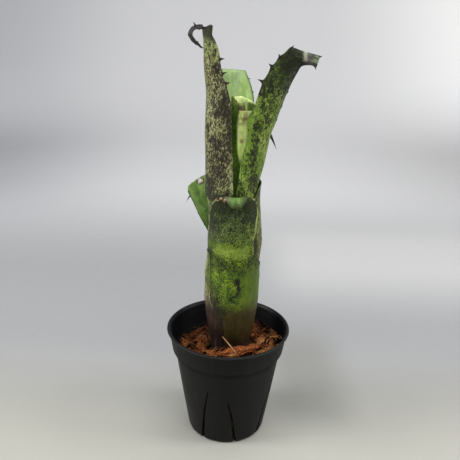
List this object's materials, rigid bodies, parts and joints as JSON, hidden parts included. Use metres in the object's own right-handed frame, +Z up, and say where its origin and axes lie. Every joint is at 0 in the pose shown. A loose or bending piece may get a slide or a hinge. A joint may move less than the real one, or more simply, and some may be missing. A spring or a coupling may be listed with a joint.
{
  "type": "potted bromeliad",
  "caption": "Bromeliad with stiff, spined, overlapping leaves that wrap each other in an upright tube, growing in husk chips in a round black plastic nursery pot with slits.",
  "frame": {"origin": "centre of the pot's underside, on the surface it stands on", "axes": "+Z up along the plant, -Y towards the side with the three stubs of cut leaves, +X towards the long arching leaf"},
  "size_m": [0.1316, 0.1202, 0.399],
  "materials": {
    "black_plastic": "moulded polypropylene, matte with a soft sheen, brighter along the rolled lip",
    "coconut_husk": "rough fibrous orange-brown coconut husk with dark gaps",
    "straw": "dry pale fibre",
    "leaf_mottled": "stiff olive leaf, densely speckled dark purple, satin",
    "leaf_green": "bright green leaf with dark green blotches, satin",
    "leaf_pale": "smooth light green leaf, satin"
  },
  "bodies": {
    "root": {"pot": "black_plastic", "growing_medium": "coconut_husk", "stem": "leaf_pale", "basal_sheath": "leaf_mottled", "leaf_front_stub": "leaf_green", "leaf_right_stub": "leaf_pale", "leaf_left_stub": "leaf_green", "leaf_left": "leaf_mottled", "leaf_right": "leaf_green", "leaf_back": "leaf_pale", "leaf_inner": "leaf_pale", "leaf_rolled": "leaf_pale", "husk_chip_01": "coconut_husk", "husk_chip_02": "coconut_husk", "husk_chip_03": "coconut_husk", "husk_chip_04": "coconut_husk", "husk_chip_05": "coconut_husk", "husk_chip_06": "coconut_husk", "husk_chip_07": "coconut_husk", "husk_chip_08": "coconut_husk", "husk_chip_09": "coconut_husk", "husk_chip_10": "coconut_husk", "husk_chip_11": "coconut_husk", "husk_chip_12": "coconut_husk", "husk_chip_13": "coconut_husk", "husk_chip_14": "coconut_husk", "husk_chip_15": "coconut_husk", "husk_chip_16": "coconut_husk", "husk_chip_17": "coconut_husk", "husk_chip_18": "coconut_husk", "husk_straw": "straw"}
  },
  "joints": []
}
